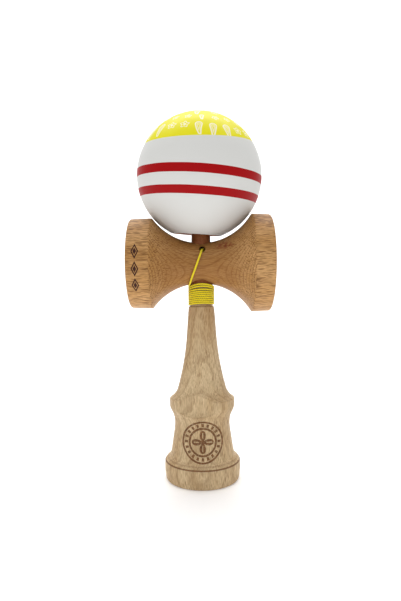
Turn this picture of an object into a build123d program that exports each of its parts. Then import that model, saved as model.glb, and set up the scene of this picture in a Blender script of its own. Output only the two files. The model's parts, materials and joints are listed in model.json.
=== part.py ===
from build123d import *
import math
import os

# A kendama, a cup-and-ball toy, standing on its base cup with the ball on the spike.
# Millimetres, +Z up. The origin is on the surface that it stands on, on the handle's axis.
# The small cup points to -X, the big cup to +X, and the string hole faces -Y.

# ---- driving dimensions --------------------------------------------------------------
# handle (the ken), one turned piece of wood
BASE_R = 18.1              # base ring, at its widest
BASE_FOOT_R = 17.6         # base ring, at the edge that it stands on
BASE_EDGE = 1.1            # rounding of that edge
BASE_WIDE_Z = 5.7          # height where it is widest
BASE_TAPER = 0.1           # how much narrower it is where its top starts to round over
BASE_ROUND_Z = 8.7         # and the height of that place
BASE_ROUND_R = 16.9        # middle of that round
BASE_ROUND_DROP = 1.0      # and how far it is under the ring's top
BASE_H = 11.1              # top of the base ring
GROOVE_Z = 9.0             # fine line turned into the ring
GROOVE_R = 0.35            # radius of the groove's section
GROOVE_OUT = 0.05          # and how far its middle is outside the ring
BASE_CUP_R = 15.4          # mouth of the hollow under the base
BASE_CUP_DEPTH = 8.0
GRIP_FOOT_R = 15.5         # grip, where it leaves the base ring
GRIP_LOW_R = 14.7          # grip, a little higher
GRIP_LOW_Z = 14.6
GRIP_MID_R = 14.1
GRIP_MID_Z = 18.8
GRIP_WAIST_R = 13.2        # grip, at its narrowest
GRIP_WAIST_Z = 26.6
GRIP_HIGH_R = 14.0         # grip, on its way out to the collar
GRIP_HIGH_Z = 31.0
COLLAR_R = 15.6            # raised collar above the grip
COLLAR_LOW_Z = 34.4
COLLAR_TOP_Z = 38.6
COLLAR_EDGE = 0.7
COLLAR_SOFT = 0.5          # half height of the soft edge at the collar's foot
COVE_R = 13.2              # middle of the cove between the collar and the stem
COVE_Z = 40.25
STEM_R = 11.8              # stem, just above the collar
STEM_Z = 42.6
FLAT_R = 12.4              # distance of the collar's two flats from the axis
FLAT_TURN = -13.0          # the front flat is turned this far towards -X, in degrees
FLAT_LOW_Z = 35.2          # where a flat starts to curve outwards
FLAT_RUNOUT = 5.0          # radius of that curve
NECK_R = 5.5               # neck that the string is wound on
NECK_H = 10.9              # neck, from the stem's shoulder up to the cross-piece
SHOULDER_R = 6.25          # stem, just under the neck
SHOULDER_DROP = 0.9        # height of the rounded shoulder under the neck
STEM_SHAPE = [             # how far the stem has narrowed, and at what share of its height
    (0.39, 0.225),
    (0.70, 0.485),
    (0.87, 0.75),
]
SPIKE_R = 4.65             # spike, where it leaves the cross-piece
SPIKE_SHANK_R = 3.7        # spike, where its tip starts
SPIKE_H = 36.7             # spike, above the cross-piece
SPIKE_TIP_H = 7.0
SPIKE_TIP_R = 2.6          # round end of the spike
SPIKE_TIP_TURN = 15.0      # degrees above level where that round starts

# cross-piece (the sarado), one turned piece with a cup at each end
ARM_Z = 103.0              # its axis, above the surface
BIG_END = 33.0             # from the handle's axis to the big cup's rim
SMALL_END = 33.6           # and to the small cup's rim
WAIST_R = 9.8              # its narrowest radius, round the handle
BIG_R = 23.5               # big cup's band
SMALL_R = 21.65            # small cup's band
BIG_SHOULDER = 24.2        # from the handle's axis to the inner edge of the big band
SMALL_SHOULDER = 23.3
BAND_DRAFT = 0.3           # how much narrower each band is at its rim
BAND_EDGE = 1.1            # rounding of each rim's outer edge
SHOULDER_EDGE = 0.6
RIM_W = 2.1                # width of each rim, from its bowl to its band
BIG_BOWL_DEPTH = 13.0
SMALL_BOWL_DEPTH = 11.5
BORE_FIT = 0.06            # clearance of the cross-piece's bore round the handle

# ball (the tama)
BALL_R = 30.0
BALL_X = -0.5              # the ball sits this far off the handle's axis
BALL_LEAN = 3.8            # degrees that its top leans towards +X
BALL_TIP = 6.4             # degrees that its top leans towards -Y
BALL_SEAT_GAP = 0.3        # clearance over the edges that it rests on
MOUTH_R = 12.0             # radius of the flat round the ball's hole
HOLE_R = 10.0
HOLE_DEPTH = 44.0
HOLE_CHAMFER = 1.5
HOLE_END_H = 2.0           # height of the drill's cone at the end of the hole
CORD_HOLE_R = 1.3          # small hole at the ball's top, for the string
CORD_SINK_R = 2.6          # its countersink
CORD_SINK_DEPTH = 0.4      # the countersink's cone ends this far under the ball's top

# string, bead and knots
CORD_D = 0.95
CORNER_SHARE = 0.45        # share of the shorter run that a corner of the string may use
CORD_HOLE_X = 0.6          # string hole in the cross-piece, off the handle's axis
CORD_HOLE_UP = 6.0         # and above the cross-piece's axis
CORD_DRILL_R = 1.5
POCKET_R = 2.5             # pocket in the handle that holds the stopper knot
POCKET_DEPTH = 5.4         # from its mouth in the thickest part of the handle's seat
POCKET_LEAD = 0.2          # its drill starts this far in front of the neck's surface
STOPPER_R = 2.0
BEAD_R = 3.5
BEAD_HOLE_R = 0.95
BEAD_GAP = 0.25            # clearance of the bead from the end of the hole and from its knot
END_KNOT_R = 1.5
KNOT_FLAT = 0.8            # share of a knot's radius at which the string meets it
WIND_H = 10.45             # height of the string's turns on the neck
WIND_FOOT = 0.35           # they start this far above the stem's shoulder
WIND_GAP = 0.05            # clearance of the winding on the neck
WIND_ARM_GAP = 0.3         # clearance of the winding under the cross-piece

# The string's route, chosen by hand. It leaves the stopper knot, comes out of its hole and
# crosses the waist to the winding; behind, it rises from the winding, passes the back of the
# waist and goes over the ball into the hole at the ball's top.
FRONT_ROUTE = [
    (0.6, -4.3, 109.0),
    (0.6, -9.0, 109.1),
    (-0.8, -11.0, 105.0),
    (-2.8, -10.5, 99.6),
    (-4.6, -8.0, 95.1),
    (-5.6, -3.5, 92.5),
]
BACK_ROUTE = [
    (-2.9, 5.5, 83.3),
    (0.2, 7.6, 83.5),
    (2.2, 8.3, 86.2),
    (2.4, 8.9, 91.0),
    (2.0, 10.0, 96.8),
    (1.6, 11.0, 104.0),
    (1.5, 18.8, 115.5),
    (1.4, 24.0, 124.1),
]
TOP_ROUTE = [
    (1.4, 24.1, 124.4),
    (1.3, 29.2, 132.8),
    (1.1, 31.5, 144.8),
    (1.2, 29.1, 156.8),
    (1.3, 22.4, 167.0),
    (1.4, 12.6, 173.9),
    (1.5, 3.4, 176.1),
    (1.6, -3.5, 175.5),
    (1.3, -2.65, 168.2),
    (0.65, -1.9, 160.9),
    (0.1, -1.0, 153.57),
]

# ---- places worked out from the sizes -------------------------------------------------
ARM_LOW = ARM_Z - WAIST_R                          # where the waist meets the neck
ARM_HIGH = ARM_Z + WAIST_R                         # and the spike's root
NECK_LOW_Z = ARM_LOW - NECK_H
SPIKE_TOP = ARM_HIGH + SPIKE_H
BAND_R = {"big": BIG_R, "small": SMALL_R}
BAND_IN = {"big": BIG_SHOULDER, "small": SMALL_SHOULDER}
BAND_OUT = {"big": BIG_END, "small": SMALL_END}
BOWL_DEPTH = {"big": BIG_BOWL_DEPTH, "small": SMALL_BOWL_DEPTH}
END_X = {"big": 1, "small": -1}
ARC_MIDDLE = 1 - math.sqrt(0.5)                    # share of a quarter round at its middle

# ---- how the solids are made ----------------------------------------------------------
SEAM_TURN = 130.0          # turned faces start here, clear of every hole and flat
CUT_MARGIN = 2.0           # cutters reach this far past what they cut
SEAT_STEPS = 200           # places along each flare that are tried for the ball's seat
SAME_PLACE = 0.01          # points closer than this are one point


def flare_radius(end):
    """Radius of the flare's arc from the waist out to one band."""
    rise = BAND_R[end] - WAIST_R
    return (BAND_IN[end] ** 2 + rise ** 2) / (2 * rise)


def flare_height(end, x):
    """Radius of the cross-piece on the flare, x away from the handle's axis."""
    radius = flare_radius(end)
    return WAIST_R + radius - math.sqrt(radius ** 2 - x ** 2)


def seat_height(end):
    """Height of the ball's centre when it rests on one side of the cross-piece."""
    reach = BALL_R + BALL_SEAT_GAP
    needs = []
    for step in range(SEAT_STEPS + 1):
        x = BAND_IN[end] * step / SEAT_STEPS
        across = END_X[end] * x - BALL_X
        needs.append(ARM_Z + flare_height(end, x) + math.sqrt(reach ** 2 - across ** 2))
    return max(needs)


BALL_Z = max(seat_height("big"), seat_height("small"))
LEAN = math.sin(math.radians(BALL_LEAN))
TIP = math.sin(math.radians(BALL_TIP))
BALL_AXIS = Vector(LEAN, -TIP, math.sqrt(1 - LEAN ** 2 - TIP ** 2))
BALL_FRAME = Plane(origin=(BALL_X, 0, BALL_Z), z_dir=BALL_AXIS)
MOUTH_Z = -math.sqrt(BALL_R ** 2 - MOUTH_R ** 2)   # the flat, in the ball's own frame
HOLE_END = MOUTH_Z + HOLE_DEPTH
BEAD_AT = HOLE_END - BEAD_R - BEAD_GAP
END_KNOT_AT = BEAD_AT - BEAD_R - BEAD_GAP          # top of the knot under the bead
CORD_HOLE_Z = ARM_Z + CORD_HOLE_UP
POCKET_Y = -NECK_R - POCKET_LEAD                   # mouth of the pocket


def bowl(mouth_r, depth):
    """A shallow spherical bowl: the ball that cuts it, and how far its centre is outside."""
    radius = (mouth_r ** 2 + depth ** 2) / (2 * depth)
    return Sphere(radius), radius - depth


def stem_radius(z):
    """Radius of the handle from the neck up to the spike's root, a slow taper."""
    share = (z - ARM_LOW) / (ARM_HIGH - ARM_LOW)
    return NECK_R + (SPIKE_R - NECK_R) * share


def ken_profile():
    """Half outline of the handle, from the middle of its foot up to the spike's tip."""
    foot = Line((0, 0), (BASE_FOOT_R - BASE_EDGE, 0))
    foot_edge = ThreePointArc(
        foot @ 1,
        (BASE_FOOT_R - BASE_EDGE * ARC_MIDDLE, BASE_EDGE * ARC_MIDDLE),
        (BASE_FOOT_R, BASE_EDGE),
    )
    ring_side = ThreePointArc(
        foot_edge @ 1, (BASE_R, BASE_WIDE_Z), (BASE_R - BASE_TAPER, BASE_ROUND_Z)
    )
    ring_top = ThreePointArc(
        ring_side @ 1, (BASE_ROUND_R, BASE_H - BASE_ROUND_DROP), (GRIP_FOOT_R, BASE_H)
    )
    grip = Spline(
        [
            ring_top @ 1,
            (GRIP_LOW_R, GRIP_LOW_Z),
            (GRIP_MID_R, GRIP_MID_Z),
            (GRIP_WAIST_R, GRIP_WAIST_Z),
            (GRIP_HIGH_R, GRIP_HIGH_Z),
            (COLLAR_R - COLLAR_SOFT / 2, COLLAR_LOW_Z - COLLAR_SOFT),
            (COLLAR_R, COLLAR_LOW_Z + COLLAR_SOFT),
        ]
    )
    collar = Line(grip @ 1, (COLLAR_R, COLLAR_TOP_Z - COLLAR_EDGE))
    collar_edge = ThreePointArc(
        collar @ 1,
        (COLLAR_R - COLLAR_EDGE * ARC_MIDDLE, COLLAR_TOP_Z - COLLAR_EDGE * ARC_MIDDLE),
        (COLLAR_R - COLLAR_EDGE, COLLAR_TOP_Z),
    )
    cove = ThreePointArc(collar_edge @ 1, (COVE_R, COVE_Z), (STEM_R, STEM_Z))
    stem_top = NECK_LOW_Z - SHOULDER_DROP
    stem_points = [
        (STEM_R - (STEM_R - SHOULDER_R) * narrowed, STEM_Z + (stem_top - STEM_Z) * share)
        for narrowed, share in STEM_SHAPE
    ]
    stem = Spline([cove @ 1, *stem_points, (SHOULDER_R, stem_top)])
    shoulder_z = NECK_LOW_Z - SHOULDER_DROP * ARC_MIDDLE
    shoulder_r = NECK_R + (SHOULDER_R - NECK_R) * (1 - ARC_MIDDLE)
    shoulder = ThreePointArc(stem @ 1, (shoulder_r, shoulder_z), (NECK_R, NECK_LOW_Z))
    neck = Line(shoulder @ 1, (NECK_R, ARM_LOW))
    seat = Line(neck @ 1, (SPIKE_R, ARM_HIGH))
    shank = Line(seat @ 1, (SPIKE_SHANK_R, SPIKE_TOP - SPIKE_TIP_H))
    end = CenterArc((0, SPIKE_TOP - SPIKE_TIP_R), SPIKE_TIP_R, SPIKE_TIP_TURN, 90 - SPIKE_TIP_TURN)
    tip = Line(shank @ 1, end @ 0)
    axis = Line(end @ 1, (0, 0))
    edges = [
        foot, foot_edge, ring_side, ring_top, grip, collar, collar_edge,
        cove, stem, shoulder, neck, seat, shank, tip, end, axis,
    ]
    return Plane.XZ * make_face(Curve() + edges)


def collar_flat(turn):
    """The wood taken off one side of the collar: a flat that curves out at its lower end."""
    outside = COLLAR_R + CUT_MARGIN
    top = STEM_Z + CUT_MARGIN
    upright = Line((FLAT_R, top), (FLAT_R, FLAT_LOW_Z))
    middle = (FLAT_R + FLAT_RUNOUT, FLAT_LOW_Z)
    runout = CenterArc(middle, FLAT_RUNOUT, 180, 90)
    low = runout @ 1
    rest = Polyline(low, (outside, low.Y), (outside, top), (FLAT_R, top))
    face = Plane.YZ * make_face(upright + runout + rest)
    block = extrude(face, COLLAR_R, both=True)
    return Rot(0, 0, turn + 180) * block


def make_ken():
    body = Rot(0, 0, SEAM_TURN) * revolve(ken_profile(), Axis.Z)
    groove = Pos(0, 0, GROOVE_Z) * Torus(BASE_R + GROOVE_OUT, GROOVE_R)
    hollow, outside = bowl(BASE_CUP_R, BASE_CUP_DEPTH)
    body -= groove
    body -= Pos(0, 0, -outside) * hollow
    for turn in (FLAT_TURN, FLAT_TURN + 180):
        body -= collar_flat(turn)
    pocket = Cylinder(POCKET_R, POCKET_DEPTH, rotation=(90, 0, 0))
    body -= Pos(CORD_HOLE_X, POCKET_Y + POCKET_DEPTH / 2, CORD_HOLE_Z) * pocket
    return body


def band_points(end):
    """Inner edge and rim of the band at one end of the cross-piece, as half outline points."""
    side = END_X[end]
    inner = (side * BAND_IN[end], BAND_R[end])
    rim = (side * BAND_OUT[end], BAND_R[end] - BAND_DRAFT)
    return inner, rim


def flare(end):
    """Arc from the waist up to one band, level where it leaves the waist."""
    inner, _ = band_points(end)
    half_x = inner[0] * 0.5
    return ThreePointArc((0, WAIST_R), (half_x, flare_height(end, half_x)), inner)


def corners_at(face, places):
    """Corners of a half outline, off its axis, at the given distance out on each side."""
    found = []
    for vertex in face.vertices():
        for end, side in END_X.items():
            there = abs(vertex.X - side * places[end]) < SAME_PLACE
            if there and vertex.Y > SAME_PLACE:
                found.append(vertex)
    return found


def make_sarado_outer(grow=0.0):
    """The turned outside of the cross-piece; grow makes a fatter copy for clearances."""
    edges = []
    for end in ("big", "small"):
        inner, rim = band_points(end)
        edges.append(flare(end))
        edges.append(Line(inner, rim))
        edges.append(Line(rim, (rim[0], 0)))
    edges.append(Line((-SMALL_END, 0), (BIG_END, 0)))
    face = make_face(Curve() + edges)
    face = fillet(corners_at(face, BAND_OUT), BAND_EDGE)
    face = fillet(corners_at(face, BAND_IN), SHOULDER_EDGE)
    if grow:
        face = offset(face, grow)
        half = Pos(0, BIG_R, 0) * Rectangle(4 * SMALL_END, 2 * BIG_R + 4 * grow)
        face = face & Pos(0, 2 * grow, 0) * half
    return Pos(0, 0, ARM_Z) * Rot(SEAM_TURN, 0, 0) * revolve(Plane.XZ * face, Axis.X)


def sarado_bore():
    """Tapered hole that seats on the handle, with its clearance."""
    low = ARM_Z - BIG_R
    high = ARM_Z + BIG_R
    face = make_face(Polyline(
        (0, low),
        (stem_radius(low) + BORE_FIT, low),
        (stem_radius(high) + BORE_FIT, high),
        (0, high),
        (0, low),
    ))
    return Rot(0, 0, SEAM_TURN) * revolve(Plane.XZ * face, Axis.Z)


def make_sarado():
    body = make_sarado_outer()
    for end, side in END_X.items():
        cutter, outside = bowl(BAND_R[end] - BAND_DRAFT - RIM_W, BOWL_DEPTH[end])
        facing = 0 if side > 0 else 180
        body -= Pos(side * (BAND_OUT[end] + outside), 0, ARM_Z) * Rot(0, 0, facing) * cutter
    body -= sarado_bore()
    drill = Cylinder(CORD_DRILL_R, 2 * WAIST_R, rotation=(90, 0, 0))
    body -= Pos(CORD_HOLE_X, -WAIST_R, CORD_HOLE_Z) * drill
    return body


def make_tama():
    body = Sphere(BALL_R)
    under = Pos(0, 0, MOUTH_Z - BALL_R) * Box(2 * BALL_R, 2 * BALL_R, 2 * BALL_R)
    body -= under
    mouth = HOLE_R + HOLE_CHAMFER
    sink_top = BALL_R - CORD_SINK_DEPTH
    sink_low = sink_top - (CORD_SINK_R - CORD_HOLE_R)
    hole = make_face(Polyline(
        (0, MOUTH_Z - CUT_MARGIN),
        (mouth + CUT_MARGIN, MOUTH_Z - CUT_MARGIN),
        (HOLE_R, MOUTH_Z + HOLE_CHAMFER),
        (HOLE_R, HOLE_END - HOLE_END_H),
        (HOLE_R - HOLE_END_H, HOLE_END),
        (CORD_HOLE_R, HOLE_END),
        (CORD_HOLE_R, sink_low),
        (CORD_SINK_R, sink_top),
        (CORD_SINK_R, BALL_R + CUT_MARGIN),
        (0, BALL_R + CUT_MARGIN),
        (0, MOUTH_Z - CUT_MARGIN),
    ))
    body -= revolve(Plane.XZ * hole, Axis.Z)
    return BALL_FRAME.location * body


def make_bead():
    body = Sphere(BEAD_R) - Cylinder(BEAD_HOLE_R, 4 * BEAD_R)
    return BALL_FRAME.location * Pos(0, 0, BEAD_AT) * body


def knot(radius):
    """A pulled-tight knot: a lump with a small flat where the string meets it, on +Z at 0."""
    flat = radius * KNOT_FLAT
    lump = Sphere(radius) - Pos(0, 0, flat + radius) * Box(3 * radius, 3 * radius, 2 * radius)
    return Pos(0, 0, -flat) * lump


def make_stopper_knot():
    face_out = Plane(origin=FRONT_ROUTE[0], z_dir=(0, -1, 0))
    return face_out.location * knot(STOPPER_R)


def make_end_knot():
    return BALL_FRAME.location * Pos(0, 0, END_KNOT_AT) * knot(END_KNOT_R)


def make_winding():
    """Outer shape of the string's turns round the neck, clear of the cross-piece."""
    inner = NECK_R + WIND_GAP
    sleeve = Cylinder(inner + CORD_D, WIND_H) - Cylinder(inner, WIND_H + 2)
    sleeve = Pos(0, 0, NECK_LOW_Z + WIND_FOOT + WIND_H / 2) * sleeve
    return sleeve - make_sarado_outer(WIND_ARM_GAP)


def corner_radii(points):
    """One radius for each corner of a cord's route, as large as its shorter run allows."""
    radii = []
    for before, here, after in zip(points, points[1:], points[2:]):
        run_in = Vector(*here) - Vector(*before)
        run_out = Vector(*after) - Vector(*here)
        half_turn = math.radians(run_in.get_angle(run_out)) / 2
        room = CORNER_SHARE * min(run_in.length, run_out.length)
        radii.append(room / math.tan(half_turn))
    return radii


def cord_tube(name, points):
    """A span of the string: straight runs joined by tangent arcs."""
    radii = corner_radii(points)
    path = FilletPolyline(*points, radius=radii)
    section = Plane(origin=path @ 0, z_dir=path % 0) * Circle(CORD_D / 2)
    tube = sweep(section, path=path)
    expected = math.pi * CORD_D ** 2 / 4 * path.length
    print(name, "radii", [round(r, 1) for r in radii], "length", round(path.length, 1),
          "volume", round(tube.volume, 2), "expected", round(expected, 2))
    return tube


def write(name, shape):
    solids = shape.solids()
    shape = solids[0] if len(solids) == 1 else Compound(children=list(solids))
    shape.label = name
    export_step(shape, f"parts/{name}.step")


def main():
    os.makedirs("parts", exist_ok=True)
    write("ken", make_ken())
    write("sarado", make_sarado())
    write("tama", make_tama())
    write("bead", make_bead())
    write("stopper_knot", make_stopper_knot())
    write("end_knot", make_end_knot())
    write("string_winding", make_winding())
    write("string_front", cord_tube("string_front", FRONT_ROUTE))
    write("string_back", cord_tube("string_back", BACK_ROUTE))
    write("string_top", cord_tube("string_top", TOP_ROUTE))
    print("ball centre", (BALL_X, 0, round(BALL_Z, 3)), "ball axis", BALL_AXIS)


main()
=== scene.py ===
import json
import math

import bpy
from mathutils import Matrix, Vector


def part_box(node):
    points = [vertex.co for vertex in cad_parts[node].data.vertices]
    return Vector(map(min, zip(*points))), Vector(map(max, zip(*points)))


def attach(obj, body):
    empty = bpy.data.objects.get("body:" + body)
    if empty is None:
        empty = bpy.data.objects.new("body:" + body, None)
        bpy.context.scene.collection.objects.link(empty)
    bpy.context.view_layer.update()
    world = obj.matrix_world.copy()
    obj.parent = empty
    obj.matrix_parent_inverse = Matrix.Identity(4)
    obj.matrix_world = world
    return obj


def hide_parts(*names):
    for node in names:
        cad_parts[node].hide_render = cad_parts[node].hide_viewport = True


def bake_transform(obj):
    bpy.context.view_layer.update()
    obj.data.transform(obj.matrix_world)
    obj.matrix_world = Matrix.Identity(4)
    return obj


# A kendama: wooden handle and cross-piece, painted ball, yellow string wound on the neck.
# Metres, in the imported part's own frame: +Z up, the front towards -Y.

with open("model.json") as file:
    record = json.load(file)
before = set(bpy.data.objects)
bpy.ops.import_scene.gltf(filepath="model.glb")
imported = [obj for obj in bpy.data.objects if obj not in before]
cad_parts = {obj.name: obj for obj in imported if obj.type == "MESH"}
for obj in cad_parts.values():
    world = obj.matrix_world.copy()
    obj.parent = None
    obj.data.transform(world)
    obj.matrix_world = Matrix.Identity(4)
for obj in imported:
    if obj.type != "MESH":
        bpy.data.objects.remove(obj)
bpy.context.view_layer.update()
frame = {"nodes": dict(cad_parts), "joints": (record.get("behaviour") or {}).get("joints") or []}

MM = 0.001


def joint(name):
    """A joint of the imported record, by name."""
    return next(j for j in frame["joints"] if j["name"] == name)


BALL_CENTRE = Vector(joint("tama_spin")["pos_m"])
BALL_AXIS = Vector(joint("tama_spin")["axis"]).normalized()
ARM_LOW, ARM_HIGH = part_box("sarado")
ARM_Z = (ARM_LOW.z + ARM_HIGH.z) / 2

# ---- camera ---------------------------------------------------------------------------
CAMERA_AT = (-0.41 * MM, -215 * MM, 85 * MM)
CAMERA_ROLL = 0.47          # degrees
CAMERA_LENS = 26.57         # mm
CAMERA_SENSOR = 36.0        # mm, along the picture's long side


def make_camera():
    data = bpy.data.cameras.new("camera")
    data.sensor_width = CAMERA_SENSOR
    data.lens = CAMERA_LENS
    data.clip_start = 0.01
    data.clip_end = 50.0
    camera = bpy.data.objects.new("camera", data)
    camera.location = CAMERA_AT
    camera.rotation_euler = (math.radians(90), math.radians(CAMERA_ROLL), 0)
    bpy.context.scene.collection.objects.link(camera)
    bpy.context.scene.camera = camera


# ---- string ---------------------------------------------------------------------------
# The route's points, in millimetres, are those of the part's own string, from knot to knot.
CORD_D = 0.95 * MM
FRONT_ROUTE = [
    (0.6, -4.3, 109.0),
    (0.6, -9.0, 109.1),
    (-0.8, -11.0, 105.0),
    (-2.8, -10.5, 99.6),
    (-4.6, -8.0, 95.1),
    (-5.6, -3.5, 92.5),
]
BACK_ROUTE = [
    (-2.9, 5.5, 83.3),
    (0.2, 7.6, 83.5),
    (2.2, 8.3, 86.2),
    (2.4, 8.9, 91.0),
    (2.0, 10.0, 96.8),
    (1.6, 11.0, 104.0),
    (1.5, 18.8, 115.5),
    (1.4, 24.0, 124.1),
]
TOP_ROUTE = [
    (1.4, 24.1, 124.4),
    (1.3, 29.2, 132.8),
    (1.1, 31.5, 144.8),
    (1.2, 29.1, 156.8),
    (1.3, 22.4, 167.0),
    (1.4, 12.6, 173.9),
    (1.5, 3.4, 176.1),
    (1.6, -3.5, 175.5),
    (1.3, -2.65, 168.2),
    (0.65, -1.9, 160.9),
    (0.1, -1.0, 153.57),
]
TURN_R = 5.98               # mm, from the neck's axis to the middle of the string
TURN_TOP = 92.05            # mm, where the turns start, on the left
TURN_PITCH = 0.9            # mm
TURNS = 10
TURN_ARCH = 0.55            # mm, how much every turn rises at its front and back
TOP_ARCH = 0.9              # and how much more the top ones do, under the waist
TOP_FADE = (1.2, 3.4)       # turns over which that extra arch fades out
TURN_POINTS = 24            # route points in each turn
LEFT = math.pi              # the turns start on the left, at -X


def winding_points():
    """The string's turns round the neck, clockwise from above, the upper ones arched."""
    end = math.atan2(BACK_ROUTE[0][1], BACK_ROUTE[0][0])
    travel = 2 * math.pi * TURNS + (LEFT - end)
    count = int(TURN_POINTS * travel / (2 * math.pi))
    points = []
    for i in range(count):
        angle = travel * i / count
        turns = angle / (2 * math.pi)
        fall = (turns - TOP_FADE[0]) / (TOP_FADE[1] - TOP_FADE[0])
        fall = min(max(fall, 0.0), 1.0)
        rise = TURN_ARCH + TOP_ARCH * (1 - fall * fall * (3 - 2 * fall))
        z = TURN_TOP - TURN_PITCH * turns + rise * math.sin(angle) ** 2
        points.append((TURN_R * math.cos(LEFT - angle), TURN_R * math.sin(LEFT - angle), z))
    return points


def route_points():
    """The whole string in metres, from knot to knot."""
    route = FRONT_ROUTE + winding_points() + BACK_ROUTE + TOP_ROUTE
    return [Vector(p) * MM for p in route]


def centreline(points):
    """Points read from a smooth spline through the route, close together."""
    curve = bpy.data.curves.new("string_route", "CURVE")
    curve.dimensions = "3D"
    spline = curve.splines.new("NURBS")
    spline.points.add(len(points) - 1)
    for target, p in zip(spline.points, points):
        target.co = (*p, 1.0)
    spline.order_u = 3
    spline.use_endpoint_u = True
    spline.resolution_u = 8
    holder = bpy.data.objects.new("string_route", curve)
    mesh = bpy.data.meshes.new_from_object(holder)
    line = [v.co.copy() for v in mesh.vertices]
    bpy.data.objects.remove(holder)
    bpy.data.curves.remove(curve)
    bpy.data.meshes.remove(mesh)
    return line


def resample(line, step):
    """The same line with points a fixed distance apart."""
    points = [line[0]]
    left = step
    for a, b in zip(line, line[1:]):
        run = (b - a).length
        at = 0.0
        while run - at >= left:
            at += left
            points.append(a.lerp(b, at / run))
            left = step
        left -= run - at
    points.append(line[-1])
    return points


def frames_along(line):
    """A pair of side directions at each point that turn as little as they can."""
    pairs = []
    side = None
    for i in range(len(line)):
        ahead = line[min(i + 1, len(line) - 1)] - line[max(i - 1, 0)]
        ahead.normalize()
        if side is None:
            side = ahead.orthogonal().normalized()
        side = (side - ahead * side.dot(ahead)).normalized()
        pairs.append((side.copy(), ahead.cross(side)))
    return pairs


STRANDS = 5
STRAND_R = 0.215            # a strand's radius, as a share of the cord's diameter
STRAND_SIDES = 6
STRAND_PITCH = 4.5 * MM     # length of cord in which a strand goes round once
LINE_STEP = 0.22 * MM       # distance of the points that the strands follow


def twisted_cord(name, line, diameter):
    """A cord of twisted strands as one mesh, closed at both ends."""
    pairs = frames_along(line)
    strand_r = diameter * STRAND_R
    offset = diameter / 2 - strand_r
    vertices = []
    faces = []
    for strand in range(STRANDS):
        base = len(vertices)
        for i, p in enumerate(line):
            turn = 2 * math.pi * (i * LINE_STEP / STRAND_PITCH + strand / STRANDS)
            u, v = pairs[i]
            middle = p + (u * math.cos(turn) + v * math.sin(turn)) * offset
            for k in range(STRAND_SIDES):
                a = 2 * math.pi * k / STRAND_SIDES
                vertices.append(middle + (u * math.cos(a) + v * math.sin(a)) * strand_r)
        for i in range(len(line) - 1):
            row = base + i * STRAND_SIDES
            for k in range(STRAND_SIDES):
                n = (k + 1) % STRAND_SIDES
                faces.append((row + k, row + n, row + STRAND_SIDES + n, row + STRAND_SIDES + k))
        last = base + (len(line) - 1) * STRAND_SIDES
        faces.append(tuple(base + k for k in reversed(range(STRAND_SIDES))))
        faces.append(tuple(last + k for k in range(STRAND_SIDES)))
    mesh = bpy.data.meshes.new(name)
    mesh.from_pydata(vertices, [], faces)
    mesh.shade_smooth()
    piece = bpy.data.objects.new(name, mesh)
    bpy.context.scene.collection.objects.link(piece)
    return piece


def make_string(material):
    line = resample(centreline(route_points()), LINE_STEP)
    piece = twisted_cord("string", line, CORD_D)
    piece.data.materials.append(material)
    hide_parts("string_front", "string_winding", "string_back", "string_top")
    knots = [make_knot("stopper_knot", material), make_knot("end_knot", material)]
    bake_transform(piece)


KNOT_ROPE = 0.2             # radius of the cord in a knot, as a share of the knot's size
KNOT_POINTS = 72
TREFOIL_R = 3               # the trefoil curve reaches this far out in its own units


def make_knot(node, material):
    """An overhand knot pulled tight, in the space of its plain node."""
    low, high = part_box(node)
    middle = (low + high) / 2
    size = min(high - low)
    tube_r = size * KNOT_ROPE
    reach = (size / 2 - tube_r) / TREFOIL_R
    line = []
    for i in range(KNOT_POINTS):
        t = 2 * math.pi * i / KNOT_POINTS
        x = math.sin(t) + 2 * math.sin(2 * t)
        y = math.cos(t) - 2 * math.cos(2 * t)
        z = -math.sin(3 * t)
        line.append(middle + Vector((x, y, z)) * reach)
    line.append(line[0].copy())
    piece = twisted_cord(node + "_rope", line, tube_r * 2)
    piece.data.materials.append(material)
    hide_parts(node)
    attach(piece, "ken" if node == "stopper_knot" else "string_end")
    return piece


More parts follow.
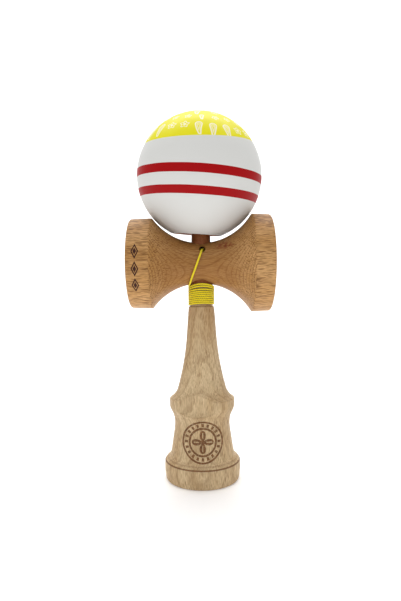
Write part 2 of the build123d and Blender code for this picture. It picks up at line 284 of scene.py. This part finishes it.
# ---- shader helpers -------------------------------------------------------------------
class Shader:
    """A material's node tree with short calls for the nodes that repeat."""

    def __init__(self, name):
        self.material = bpy.data.materials.new(name)
        self.material.use_nodes = True
        self.tree = self.material.node_tree
        self.surface = self.tree.nodes["Principled BSDF"]

    def node(self, kind, **settings):
        made = self.tree.nodes.new(kind)
        for key, value in settings.items():
            setattr(made, key, value)
        return made

    def put(self, socket, value):
        if isinstance(value, bpy.types.NodeSocket):
            self.tree.links.new(value, socket)
        else:
            socket.default_value = value

    def position(self):
        """The point that is shaded, in metres."""
        return self.node("ShaderNodeTexCoord").outputs["Object"]

    def place(self):
        """The same point in millimetres."""
        return self.vector("SCALE", self.position(), scale=1 / MM)

    def split(self, vector):
        """The three components of a vector."""
        made = self.node("ShaderNodeSeparateXYZ")
        self.put(made.inputs[0], vector)
        return made.outputs

    def math(self, operation, a, b=0.0, c=0.0, clamp=False):
        made = self.node("ShaderNodeMath", operation=operation, use_clamp=clamp)
        for socket, value in zip(made.inputs, (a, b, c)):
            self.put(socket, value)
        return made.outputs[0]

    def vector(self, operation, a, b=None, scale=None):
        made = self.node("ShaderNodeVectorMath", operation=operation)
        self.put(made.inputs[0], a)
        if b is not None:
            self.put(made.inputs[1], b)
        if scale is not None:
            self.put(made.inputs["Scale"], scale)
        return made.outputs["Value"] if operation in ("DOT_PRODUCT", "LENGTH") else made.outputs[0]

    def distance(self, a, b):
        """Length of the hypotenuse over two numbers."""
        squares = [self.math("MULTIPLY", side, side) for side in (a, b)]
        return self.math("SQRT", self.math("ADD", *squares))

    def noise(self, vector, scale=1.0, detail=2.0, roughness=0.5):
        made = self.node("ShaderNodeTexNoise")
        self.put(made.inputs["Vector"], vector)
        made.inputs["Scale"].default_value = scale
        made.inputs["Detail"].default_value = detail
        made.inputs["Roughness"].default_value = roughness
        return made.outputs["Fac"]

    def ramp(self, value, low, high, start=0.0, end=1.0):
        """A smooth step: start below low, end above high."""
        made = self.node("ShaderNodeMapRange", interpolation_type="SMOOTHSTEP")
        self.put(made.inputs["Value"], value)
        made.inputs["From Min"].default_value = low
        made.inputs["From Max"].default_value = high
        made.inputs["To Min"].default_value = start
        made.inputs["To Max"].default_value = end
        return made.outputs[0]

    def mix(self, factor, a, b):
        made = self.node("ShaderNodeMix", data_type="RGBA")
        self.put(made.inputs["Factor"], factor)
        self.put(made.inputs["A"], colour(a) if isinstance(a, tuple) else a)
        self.put(made.inputs["B"], colour(b) if isinstance(b, tuple) else b)
        return made.outputs["Result"]

    def finish(self, base, rough, height=None, distance=0.0, strength=1.0):
        self.put(self.surface.inputs["Base Color"], base)
        self.put(self.surface.inputs["Roughness"], rough)
        if height is not None:
            bump = self.node("ShaderNodeBump")
            bump.inputs["Strength"].default_value = strength
            bump.inputs["Distance"].default_value = distance
            self.put(bump.inputs["Height"], height)
            self.put(self.surface.inputs["Normal"], bump.outputs[0])
        return self.material


def colour(rgb):
    """An sRGB colour of 0 to 255 as the linear values that a socket takes."""
    linear = []
    for channel in rgb:
        c = channel / 255
        linear.append(c / 12.92 if c <= 0.04045 else ((c + 0.055) / 1.055) ** 2.4)
    return (*linear, 1.0)


# ---- wood -----------------------------------------------------------------------------
def wood_axes(shader, wood):
    """Distances in millimetres along the grain, across the rays and along the rays."""
    place = shader.place()
    along = Vector(wood["grain"])
    across = along.cross(Vector(wood["radial"])).normalized()
    radial = across.cross(along)
    return [shader.vector("DOT_PRODUCT", place, tuple(d)) for d in (along, across, radial)]


def stretched(shader, axes, lengths):
    """A texture position whose unit is so long in each of the wood's three directions."""
    made = shader.node("ShaderNodeCombineXYZ")
    for socket, axis, length in zip(made.inputs, axes, lengths):
        shader.put(socket, shader.math("DIVIDE", axis, length))
    return made.outputs[0]


RING_SWAY = 0.9             # how far a growth ring wanders slowly, as a share of their spacing
RING_RIPPLE = 0.22          # and quickly


def growth_rings(shader, axes, spacing, phase):
    """The year's dark line and the slow tone before it, gently wavy."""
    sway = shader.noise(stretched(shader, axes, (30, 12, 12)))
    ripple = shader.noise(stretched(shader, axes, (6, 2.0, 4)))
    depth = shader.math("MULTIPLY_ADD", sway, spacing * RING_SWAY, axes[2])
    depth = shader.math("MULTIPLY_ADD", ripple, spacing * RING_RIPPLE, depth)
    year = shader.math("FRACT", shader.math("MULTIPLY_ADD", depth, 1 / spacing, phase))
    tone = shader.ramp(year, 0.25, 0.95)
    darkens = shader.ramp(year, 0.70, 0.88)
    ends = shader.ramp(year, 0.93, 1.0, 1.0, 0.0)
    return tone, shader.math("MULTIPLY", darkens, ends)


FLECK_SHARE = 0.33          # half a fleck's size, as a share of the flecks' spacing
SHORT_FLECK = 0.6           # size of the shorter flecks among them
SHORT_FLECK_DARK = 0.5      # and how dark they are


def ray_flecks(shader, axes, sizes):
    """Short dark lenses: so long along the grain, so thick across it and so deep along the rays."""
    bend = shader.noise(stretched(shader, axes, (9, 5, 30)), detail=1.0)
    across = shader.math("MULTIPLY_ADD", bend, 1.2, axes[1])
    spacing = [size / FLECK_SHARE / 2 for size in sizes]
    cells = shader.node("ShaderNodeTexVoronoi")
    shader.put(cells.inputs["Vector"], stretched(shader, (axes[0], across, axes[2]), spacing))
    cells.inputs["Scale"].default_value = 1.0
    return shader.ramp(cells.outputs["Distance"], FLECK_SHARE * 0.7, FLECK_SHARE * 1.3, 1.0, 0.0)


# Each wood: directions of its grain and rays, its colours, and in millimetres the spacing of its
# growth rings and the length, thickness and depth of its flecks. The phase shifts the rings by a
# share of their spacing, patchy is what is left of the flecks where they fade, and the others are
# strengths.
KEN_BEECH = {
    "grain": (0, 0, 1), "radial": (-0.05, -1, 0),
    "pale": (218, 194, 154), "warm": (198, 169, 127), "fleck": (120, 82, 42),
    "ring": 2.9, "phase": 0.35, "ring_tone": 0.13, "ring_line": 0.2,
    "fleck_size": (2.6, 0.2, 1.0), "fleck_dark": 0.85, "fibre": 0.5, "patchy": 0.5,
}
SARADO_BEECH = {
    "grain": (1, 0, 0), "radial": (0, -0.91, -0.42),
    "pale": (208, 162, 106), "warm": (186, 138, 80), "fleck": (88, 48, 14),
    "ring": 1.25, "phase": 0.1, "ring_tone": 0.05, "ring_line": 0.62, "patchy": 0.8,
    "fleck_size": (3.4, 0.22, 1.0), "fleck_dark": 0.95, "fibre": 0.5,
}
BEAD_BEECH = {
    "grain": (0, 0, 1), "radial": (0, -1, 0),
    "pale": (190, 146, 98), "warm": (166, 118, 76), "fleck": (104, 66, 36),
    "ring": 1.4, "phase": 0.0, "ring_tone": 0.2, "ring_line": 0.4,
    "fleck_size": (1.8, 0.25, 1.0), "fleck_dark": 0.6, "fibre": 0.4, "patchy": 0.45,
}
BALL_BEECH = {
    "grain": tuple(BALL_AXIS), "radial": (0.3, -1, 0),
    "pale": (168, 112, 78), "warm": (142, 88, 58), "fleck": (90, 50, 30),
    "ring": 2.4, "phase": 0.0, "ring_tone": 0.2, "ring_line": 0.4,
    "fleck_size": (2.4, 0.3, 1.2), "fleck_dark": 0.6, "fibre": 0.4, "patchy": 0.45,
}


def beech(shader, wood, ring_share=1.0):
    """Beech: growth rings, fine fibres and the short dark flecks of its rays."""
    axes = wood_axes(shader, wood)
    clouds = shader.noise(stretched(shader, axes, (40, 9, 7)), detail=3.0, roughness=0.55)
    fibres = shader.noise(stretched(shader, axes, (7, 0.24, 0.3)), detail=3.0, roughness=0.6)
    patches = shader.noise(stretched(shader, axes, (10, 4, 6)))
    tone, line = growth_rings(shader, axes, wood["ring"], wood["phase"])
    base = shader.mix(shader.ramp(clouds, 0.32, 0.68), wood["pale"], wood["warm"])
    base = shader.mix(shader.math("MULTIPLY", tone, wood["ring_tone"]), base, wood["fleck"])
    base = shader.mix(shader.ramp(fibres, 0.42, 0.75, 0.0, wood["fibre"]), base, wood["fleck"])
    broken = shader.ramp(patches, 0.3, 0.6, 0.35, 1.0)
    line = shader.math("MULTIPLY", shader.math("MULTIPLY", line, broken), wood["ring_line"])
    line = shader.math("MULTIPLY", line, ring_share)
    base = shader.mix(line, base, wood["fleck"])
    flecks = ray_flecks(shader, axes, wood["fleck_size"])
    flecks = shader.math("MULTIPLY", flecks, wood["fleck_dark"])
    short = ray_flecks(shader, axes, [size * SHORT_FLECK for size in wood["fleck_size"]])
    short = shader.math("MULTIPLY", short, wood["fleck_dark"] * SHORT_FLECK_DARK)
    flecks = shader.math("MAXIMUM", flecks, short)
    flecks = shader.math("MULTIPLY", flecks, shader.ramp(patches, 0.3, 0.6, 1.0, wood["patchy"]))
    base = shader.mix(flecks, base, wood["fleck"])
    return base, flecks, fibres


def burn(shader, base, mask):
    """Dark brown, slightly uneven burned marking."""
    tint = shader.noise(shader.vector("SCALE", shader.place(), scale=0.9))
    dark = shader.mix(shader.ramp(tint, 0.3, 0.7), (84, 48, 24), (118, 72, 38))
    return shader.mix(mask, base, dark)


def wood_surface(shader, base, flecks, fibres, rough=0.5):
    """Fine sanded wood: rougher in the fibres, a little proud between them."""
    roughness = shader.ramp(fibres, 0.3, 0.7, rough - 0.06, rough + 0.1)
    height = shader.math("MULTIPLY_ADD", flecks, -0.6, fibres)
    shader.surface.inputs["Specular IOR Level"].default_value = 0.2
    return shader.finish(base, roughness, height, distance=0.00005, strength=0.25)


def ring_mask(shader, value, middle, half, soft):
    """1 where value is within half of middle, falling to 0 over soft."""
    away = shader.math("ABSOLUTE", shader.math("SUBTRACT", value, middle))
    return shader.ramp(away, half, half + soft, 1.0, 0.0)


GROOVE_Z = 9.0              # mm, line turned into the base ring
FAINT_Z = 10.3              # mm, and a fainter one above it
RING_SIDE = (16.0, 16.5)    # mm from the axis, where the base ring's outer side starts
NECK_STAIN_AND_SHADE = (91.8, 93.2)   # mm, the wood is darker from here up to the spike's tip: partly a stain, partly painted shade where the sarado and ball shade the neck and spike
STEM_SHADE = (45.0, 85.0)    # mm, and its stem darkens upwards between these: painted shade from the sarado above
BADGE_X = 0.1               # mm, middle of the ornament on the grip's front
BADGE_Z = 20.6
BADGE_SOFT = 0.12           # mm, softness of its edges
PETALS = (0.5, 4.6)         # mm, the flower's edge between its petals, and how much further they go
VEIN = (2.9, 1.1)           # mm, middle and half length of the pale vein in a petal
VEIN_HALF = 0.35            # mm, half its width
HEART_R = 0.9               # mm
BADGE_RINGS = ((6.0, 0.42), (9.0, 0.36))    # mm, radius and half width of the two rings
RAYS = 20
RAY_BAND = (7.5, 0.7)       # mm, middle and half length of the rays between the rings


def grip_ornament(shader, place):
    """A plain round ornament burned into the grip: two rings, a four-petal flower and rays."""
    x, y, z = shader.split(place)
    across = shader.math("SUBTRACT", x, BADGE_X)
    up = shader.math("SUBTRACT", z, BADGE_Z)
    away = shader.distance(across, up)
    turn = shader.math("ARCTAN2", up, across)
    twice = shader.math("MULTIPLY", turn, 2.0)
    petals = shader.math("ABSOLUTE", shader.math("COSINE", twice))
    edge = shader.math("MULTIPLY_ADD", petals, PETALS[1], PETALS[0])
    inside = shader.math("SUBTRACT", away, edge)
    flower = shader.ramp(inside, -BADGE_SOFT, 0.0, 1.0, 0.0)
    aside = shader.math("MULTIPLY", shader.math("SINE", twice), away)
    vein = ring_mask(shader, aside, 0.0, VEIN_HALF, 0.15)
    vein = shader.math("MULTIPLY", vein, ring_mask(shader, away, *VEIN, 0.2))
    mask = shader.math("SUBTRACT", flower, vein, clamp=True)
    heart = shader.ramp(away, HEART_R, HEART_R + 0.15, 1.0, 0.0)
    mask = shader.math("MAXIMUM", mask, heart)
    for radius, half in BADGE_RINGS:
        mask = shader.math("MAXIMUM", mask, ring_mask(shader, away, radius, half, BADGE_SOFT))
    rays = shader.math("COSINE", shader.math("MULTIPLY", turn, RAYS))
    rays = shader.ramp(rays, 0.0, 0.3)
    rays = shader.math("MULTIPLY", rays, ring_mask(shader, away, *RAY_BAND, BADGE_SOFT))
    mask = shader.math("MAXIMUM", mask, rays)
    front = shader.ramp(shader.math("MULTIPLY", y, -1.0), 0.5, 2.0)
    return shader.math("MULTIPLY", mask, front)


def ken_wood():
    shader = Shader("ken_beech")
    base, flecks, fibres = beech(shader, KEN_BEECH)
    place = shader.place()
    x, y, z = shader.split(place)
    groove = ring_mask(shader, z, GROOVE_Z, 0.22, 0.18)
    faint = ring_mask(shader, z, FAINT_Z, 0.1, 0.4)
    groove = shader.math("MAXIMUM", groove, shader.math("MULTIPLY", faint, 0.35))
    groove = shader.math("MULTIPLY", groove, shader.ramp(shader.distance(x, y), *RING_SIDE))
    groove = shader.math("MULTIPLY", groove, 0.8)
    worn = shader.noise(shader.vector("SCALE", place, scale=1.4), detail=3.0, roughness=0.6)
    # Painted shade: the upper stem darkened towards the sarado above it.
    base = shader.mix(shader.ramp(z, *STEM_SHADE, 0.0, 0.3), base, (150, 112, 66))
    mark = grip_ornament(shader, place)
    mark = shader.math("MULTIPLY", mark, shader.ramp(worn, 0.3, 0.5, 0.55, 0.9))
    base = burn(shader, base, shader.math("MAXIMUM", groove, mark))
    # Neck and spike darkened: partly a stain, partly painted shade from the sarado and ball around
    # them.
    uneven = shader.ramp(worn, 0.2, 0.7, 0.97, 0.85)
    stain_and_shade = shader.math("MULTIPLY", shader.ramp(z, *NECK_STAIN_AND_SHADE), uneven)
    base = shader.mix(stain_and_shade, base, (122, 57, 10))
    return wood_surface(shader, base, flecks, fibres)


MARK_X = -29.2              # mm, middle of the small marks on the small cup's band
MARK_ANGLES = (10.3, -10.6, -30.9)      # degrees up round the band from its front
MARK_R = 21.5               # mm, the band's radius
MARK_HALF = (1.75, 3.5)     # mm, half of a lozenge's width and height
MARK_LINE = (0.82, 0.14)    # middle and half width of its outline, as shares of that
MARK_DOT = (0.42, 0.5)      # where the dot in it fades out, as shares too


def band_marks(shader, place):
    """Three small lozenges burned into the small cup's band."""
    x, y, z = shader.split(place)
    up = shader.math("SUBTRACT", z, ARM_Z / MM)
    angle = shader.math("ARCTAN2", up, shader.math("MULTIPLY", y, -1.0))
    across = shader.math("ABSOLUTE", shader.math("SUBTRACT", x, MARK_X))
    across = shader.math("DIVIDE", across, MARK_HALF[0])
    mask = 0.0
    for degrees in MARK_ANGLES:
        away = shader.math("SUBTRACT", angle, math.radians(degrees))
        along = shader.math("ABSOLUTE", shader.math("MULTIPLY", away, MARK_R))
        along = shader.math("DIVIDE", along, MARK_HALF[1])
        size = shader.math("ADD", across, along)
        mask = shader.math("MAXIMUM", mask, ring_mask(shader, size, *MARK_LINE, 0.06))
        mask = shader.math("MAXIMUM", mask, shader.ramp(size, *MARK_DOT, 1.0, 0.0))
    return mask


BAND_FROM = (24.5, 26.5)    # mm from the middle, where the flares turn into the bands
WAIST_SHADE_AND_TONE = (12.0, 25.0)      # mm from the middle, between these the darker, warmer tone of the waist fades out: partly the wood's own warmer colour, partly painted shade from the ball above
STAIN_AT = (10.8, -9.6, 110.6)      # mm, middle of a brown stain on the shoulder
STAIN_FALL = (0.22, 0.3, 0.6)       # how fast it fades per mm along X, Y and Z


def sarado_wood():
    shader = Shader("sarado_beech")
    place = shader.place()
    along = shader.math("ABSOLUTE", shader.vector("DOT_PRODUCT", place, (1, 0, 0)))
    base, flecks, fibres = beech(shader, SARADO_BEECH, shader.ramp(along, *BAND_FROM, 1.0, 0.2))
    # Darker, warmer waist: partly the wood's own colour, partly painted shade under the ball.
    base = shader.mix(shader.ramp(along, *WAIST_SHADE_AND_TONE, 0.62, 0.0), base, (146, 98, 48))
    base = shader.mix(band_marks(shader, place), base, (58, 26, 16))
    # The shoulder's brown smudge is a real stain, with no shade painted in.
    away = shader.vector("SUBTRACT", place, STAIN_AT)
    away = shader.vector("LENGTH", shader.vector("MULTIPLY", away, STAIN_FALL))
    blotches = shader.noise(stretched(shader, wood_axes(shader, SARADO_BEECH), (3.0, 1.2, 1.2)))
    blotches = shader.ramp(blotches, 0.36, 0.56)
    stain_and_shade = shader.math("MULTIPLY", shader.ramp(away, 0.3, 1.6, 0.85, 0.0), blotches)
    base = shader.mix(stain_and_shade, base, (116, 46, 16))
    return wood_surface(shader, base, flecks, fibres, rough=0.48)


def bead_wood():
    shader = Shader("bead_wood")
    base, flecks, fibres = beech(shader, BEAD_BEECH)
    return wood_surface(shader, base, flecks, fibres)


# ---- painted ball ---------------------------------------------------------------------
BALL_MM = 30.0              # the ball's radius
CAP_EDGE = 15.1             # mm along the ball's axis from its centre
CAP_TILT = (-0.075, 0.068)  # the cap's edge climbs towards the big cup and dips at the front
STRIPES = ((1.3, -2.5), (-7.7, -11.2))      # mm along the axis, top and bottom of each stripe
PAINT_SKIN = (29.75, 29.85)     # mm from the centre, bare wood inside and paint outside
WHITE = (215, 215, 212)
RED = (160, 2, 8)
YELLOW = (228, 220, 2)
PRINT = (246, 240, 222)
GOLDEN = 0.618              # its multiples leave fractions in no order that shows
PRINT_SOFT = 0.1            # mm, softness of a print's lines
DROP_TAIL = 3.7             # a drop's tail is as long as so many of its radii
DROP_TAPER = 0.7            # and so much thinner at its end
DROP_LINE = 0.23            # mm, half width of its outline
DROP_INNER = (-0.74, 0.12)  # mm, place and half width of the smaller outline inside it
DROP_HEART = (-1.3, -1.15)  # mm, where the filled drop in the middle fades out
FLOWER_LINE = 0.18          # mm, half width of a flower's outline
FLOWER_DOT = 0.3            # radius of the dot in it, as a share of the flower's


def around(shader, longitude, arc, row):
    """Where on the ball, in millimetres, from the middle of the print that is nearest in its ring.

    With it an odd number for that print, -0.5 to 0.5, and its turn in the ring's order, 0 to 1.
    """
    sector = 2 * math.pi / row["count"]
    turned = shader.math("MULTIPLY_ADD", longitude, 1 / sector, row["first"] + 0.5)
    number = shader.math("FLOOR", turned)
    local = shader.math("SUBTRACT", shader.math("FRACT", turned), 0.5)
    round_r = BALL_MM * math.cos(row["arc"] / BALL_MM)
    across = shader.math("MULTIPLY", local, sector * round_r)
    odd = shader.math("FRACT", shader.math("MULTIPLY", number, GOLDEN))
    odd = shader.math("SUBTRACT", odd, 0.5)
    up = shader.math("SUBTRACT", arc, row["arc"])
    up = shader.math("MULTIPLY_ADD", odd, row["scatter"], up)
    order = shader.math("FRACT", shader.math("DIVIDE", number, row["period"]))
    return across, up, odd, order


def drop_print(shader, across, up, odd, size):
    """An outlined drop, its round end up, with a smaller one inside it."""
    bend = shader.math("MULTIPLY", shader.math("MULTIPLY", up, up), 0.05)
    across = shader.math("MULTIPLY_ADD", odd, bend, across)
    tail = size * DROP_TAIL
    down = shader.math("MULTIPLY", up, -1.0)
    share = shader.math("MINIMUM", shader.math("DIVIDE", down, tail), 1.0)
    share = shader.math("MAXIMUM", share, 0.0)
    along = shader.math("MULTIPLY_ADD", share, -tail, down)
    width = shader.math("MULTIPLY_ADD", share, -size * DROP_TAPER, size)
    edge = shader.math("SUBTRACT", shader.distance(across, along), width)
    outline = ring_mask(shader, edge, 0.0, DROP_LINE, PRINT_SOFT)
    inner = shader.math("MULTIPLY", ring_mask(shader, edge, *DROP_INNER, PRINT_SOFT), 0.8)
    heart = shader.ramp(edge, *DROP_HEART, 0.8, 0.0)
    return shader.math("MAXIMUM", outline, shader.math("MAXIMUM", inner, heart))


def flower_print(shader, across, up, odd, size):
    """An outlined flower of five petals with a dot in it."""
    away = shader.distance(across, up)
    turn = shader.math("ARCTAN2", up, across)
    turn = shader.math("MULTIPLY_ADD", odd, 3.0, turn)
    petal = shader.math("COSINE", shader.math("MULTIPLY", turn, 5.0))
    petal = shader.math("MULTIPLY_ADD", petal, size * 0.2, size * 0.8)
    edge = shader.math("SUBTRACT", away, petal)
    outline = ring_mask(shader, edge, 0.0, FLOWER_LINE, PRINT_SOFT)
    dot_r = size * FLOWER_DOT
    dot = shader.ramp(away, dot_r, dot_r + PRINT_SOFT, 1.0, 0.0)
    return shader.math("MAXIMUM", outline, dot)


# Each ring of prints: how many there are and where they start; its distance from the ball's middle
# along the arc and how far a print may be off it, in mm; after how many prints their order repeats,
# and from which share of it they are flowers; and the two sizes in mm.
PRINT_ROWS = (
    {"count": 24, "first": 0.18, "arc": 19.8, "scatter": 0.7, "period": 5, "drop": 1.45,
     "flower": 2.0, "flowers_from": 0.55},
    {"count": 20, "first": 0.03, "arc": 26.3, "scatter": 1.4, "period": 4, "drop": 0.8,
     "flower": 1.5, "flowers_from": 0.2},
    {"count": 11, "first": 0.3, "arc": 32.6, "scatter": 1.2, "period": 2, "drop": 1.1,
     "flower": 1.7, "flowers_from": 0.4},
    {"count": 7, "first": 0.1, "arc": 39.0, "scatter": 1.0, "period": 2, "drop": 0.8,
     "flower": 1.3, "flowers_from": 0.4},
)


def cap_prints(shader, longitude, height):
    """Rings of white drops and flowers on the cap."""
    share = shader.math("DIVIDE", height, BALL_MM)
    arc = shader.math("MULTIPLY", shader.math("ARCSINE", share), BALL_MM)
    mask = 0.0
    for row in PRINT_ROWS:
        across, up, odd, order = around(shader, longitude, arc, row)
        is_flower = shader.ramp(order, row["flowers_from"] - 0.01, row["flowers_from"] + 0.01)
        is_drop = shader.math("SUBTRACT", 1.0, is_flower)
        flower = flower_print(shader, across, up, odd, row["flower"])
        drop = drop_print(shader, across, up, odd, row["drop"])
        mask = shader.math("MAXIMUM", mask, shader.math("MULTIPLY", flower, is_flower))
        mask = shader.math("MAXIMUM", mask, shader.math("MULTIPLY", drop, is_drop))
    return mask


def ball_paint():
    shader = Shader("tama_paint")
    place = shader.vector("SUBTRACT", shader.position(), tuple(BALL_CENTRE))
    place = shader.vector("SCALE", place, scale=1 / MM)
    side = Vector((0, 1, 0)).cross(BALL_AXIS).normalized()
    front = side.cross(BALL_AXIS)
    height = shader.vector("DOT_PRODUCT", place, tuple(BALL_AXIS))
    right = shader.vector("DOT_PRODUCT", place, tuple(side))
    ahead = shader.vector("DOT_PRODUCT", place, tuple(front))
    longitude = shader.math("ARCTAN2", right, ahead)
    wobble = shader.noise(shader.vector("SCALE", place, scale=0.12))
    wobble = shader.math("MULTIPLY_ADD", wobble, 0.16, -0.08)
    line = shader.math("ADD", height, wobble)
    rise = shader.math("MULTIPLY_ADD", right, CAP_TILT[0], line)
    rise = shader.math("MULTIPLY_ADD", ahead, CAP_TILT[1], rise)
    cap = shader.ramp(rise, CAP_EDGE - 0.05, CAP_EDGE + 0.05)
    stripes = 0.0
    for top, low in STRIPES:
        one = ring_mask(shader, line, (top + low) / 2, (top - low) / 2 - 0.04, 0.08)
        stripes = shader.math("MAXIMUM", stripes, one)
    painted = shader.mix(stripes, WHITE, RED)
    painted = shader.mix(cap, painted, YELLOW)
    prints = shader.math("MULTIPLY", cap_prints(shader, longitude, height), cap)
    painted = shader.mix(shader.math("MULTIPLY", prints, 0.9), painted, PRINT)
    bare = shader.ramp(shader.vector("LENGTH", place), *PAINT_SKIN, 1.0, 0.0)
    wood = beech(shader, BALL_BEECH)[0]
    base = shader.mix(bare, painted, wood)
    peel = shader.noise(shader.vector("SCALE", place, scale=0.9))
    rough = shader.ramp(peel, 0.3, 0.7, 0.4, 0.46)
    rough = shader.math("MAXIMUM", rough, shader.math("MULTIPLY", bare, 0.6))
    raised = shader.math("MULTIPLY_ADD", shader.math("MAXIMUM", stripes, cap), 0.5, peel)
    shader.surface.inputs["Specular IOR Level"].default_value = 0.12
    return shader.finish(base, rough, raised, distance=0.00002, strength=0.2)


# ---- string material ------------------------------------------------------------------
VALLEY_SHADE_R = (6.02, 6.26)     # mm from the neck's axis, between the turns and on top of them: painted shade darkens the string in the creases between the turns
WOUND_TO = (93.0, 94.0)     # mm, the turns end below this


def string_yarn():
    shader = Shader("string_yarn")
    place = shader.place()
    fuzz = shader.noise(shader.vector("SCALE", place, scale=9.0), detail=3.0, roughness=0.65)
    shade = shader.noise(shader.vector("SCALE", place, scale=0.8))
    base = shader.mix(shader.ramp(fuzz, 0.35, 0.7), (238, 214, 8), (250, 232, 24))
    base = shader.mix(shader.ramp(shade, 0.3, 0.7, 0.0, 0.3), base, (206, 188, 10))
    x, y, z = shader.split(place)
    # Painted shade: the string darkened to dark olive in the creases between its turns on the neck.
    valley_shade = shader.ramp(shader.distance(x, y), *VALLEY_SHADE_R, 1.0, 0.0)
    valley_shade = shader.math("MULTIPLY", valley_shade, shader.ramp(z, *WOUND_TO, 1.0, 0.0))
    base = shader.mix(valley_shade, base, (88, 70, 2))
    shader.surface.inputs["Sheen Weight"].default_value = 0.1
    rough = shader.ramp(fuzz, 0.3, 0.7, 0.5, 0.7)
    return shader.finish(base, rough, fuzz, distance=0.00005, strength=0.5)


# ---- floor and light ------------------------------------------------------------------
FLOOR_HALF = 3.0            # metres, half the backdrop's width
FLOOR_FRONT = -2.5
WALL_FROM = 1.6             # metres behind the toy, where the floor starts to curve up
WALL_BEND = 0.6             # metres, radius of that curve
WALL_TOP = 3.0
WALL_STEPS = 24
SKY_STRENGTH = 0.5

# Each lamp: where it is, where it points, its sides in metres and its power in watts.
LAMPS = {
    "top": ((0.0, 0.15, 1.3), (0, 0.1, 0.0), (1.6, 1.6), 11.0),
    "front": ((-0.35, -0.9, 0.8), (0, 0, 0.1), (0.8, 0.6), 1.5),
    "wall": ((0.0, 0.6, 1.6), (0, 1.9, 0.4), (1.6, 0.6), 30.0),
}


def make_backdrop():
    """A plain pale floor that curves up into a wall behind."""
    profile = [(FLOOR_FRONT, 0.0)]
    for i in range(WALL_STEPS + 1):
        a = math.radians(90 * i / WALL_STEPS)
        profile.append((WALL_FROM + WALL_BEND * math.sin(a), WALL_BEND - WALL_BEND * math.cos(a)))
    profile.append((WALL_FROM + WALL_BEND, WALL_TOP))
    vertices = [(side * FLOOR_HALF, y, z) for y, z in profile for side in (-1, 1)]
    faces = [(2 * i, 2 * i + 1, 2 * i + 3, 2 * i + 2) for i in range(len(profile) - 1)]
    mesh = bpy.data.meshes.new("backdrop")
    mesh.from_pydata(vertices, [], faces)
    mesh.shade_smooth()
    backdrop = bpy.data.objects.new("backdrop", mesh)
    bpy.context.scene.collection.objects.link(backdrop)
    shader = Shader("backdrop_paper")
    grain = shader.noise(shader.vector("SCALE", shader.position(), scale=60.0))
    base = shader.mix(shader.ramp(grain, 0.3, 0.7), (252, 252, 252), (254, 254, 254))
    shader.surface.inputs["Emission Color"].default_value = (1.0, 1.0, 1.0, 1.0)
    shader.surface.inputs["Emission Strength"].default_value = 0.1
    mesh.materials.append(shader.finish(base, 0.8))


def area_light(name, place, aim, size, power):
    data = bpy.data.lights.new(name, "AREA")
    data.shape = "RECTANGLE"
    data.size, data.size_y = size
    data.energy = power
    lamp = bpy.data.objects.new(name, data)
    lamp.location = place
    lamp.rotation_mode = "QUATERNION"
    lamp.rotation_quaternion = (Vector(aim) - Vector(place)).to_track_quat("-Z", "Y")
    bpy.context.scene.collection.objects.link(lamp)


def make_light():
    world = bpy.data.worlds.new("studio")
    world.use_nodes = True
    background = world.node_tree.nodes["Background"]
    background.inputs["Color"].default_value = (1.0, 1.0, 1.0, 1.0)
    background.inputs["Strength"].default_value = SKY_STRENGTH
    bpy.context.scene.world = world
    for name, lamp in LAMPS.items():
        area_light(name, *lamp)


def keep_material(node, material):
    """Gives a CAD node its finished material."""
    target = frame["nodes"][node]
    target.data.materials.clear()
    target.data.materials.append(material)


make_camera()
make_string(string_yarn())
keep_material("ken", ken_wood())
keep_material("sarado", sarado_wood())
keep_material("tama", ball_paint())
keep_material("bead", bead_wood())
make_backdrop()
make_light()
bpy.context.scene.view_settings.view_transform = "Standard"
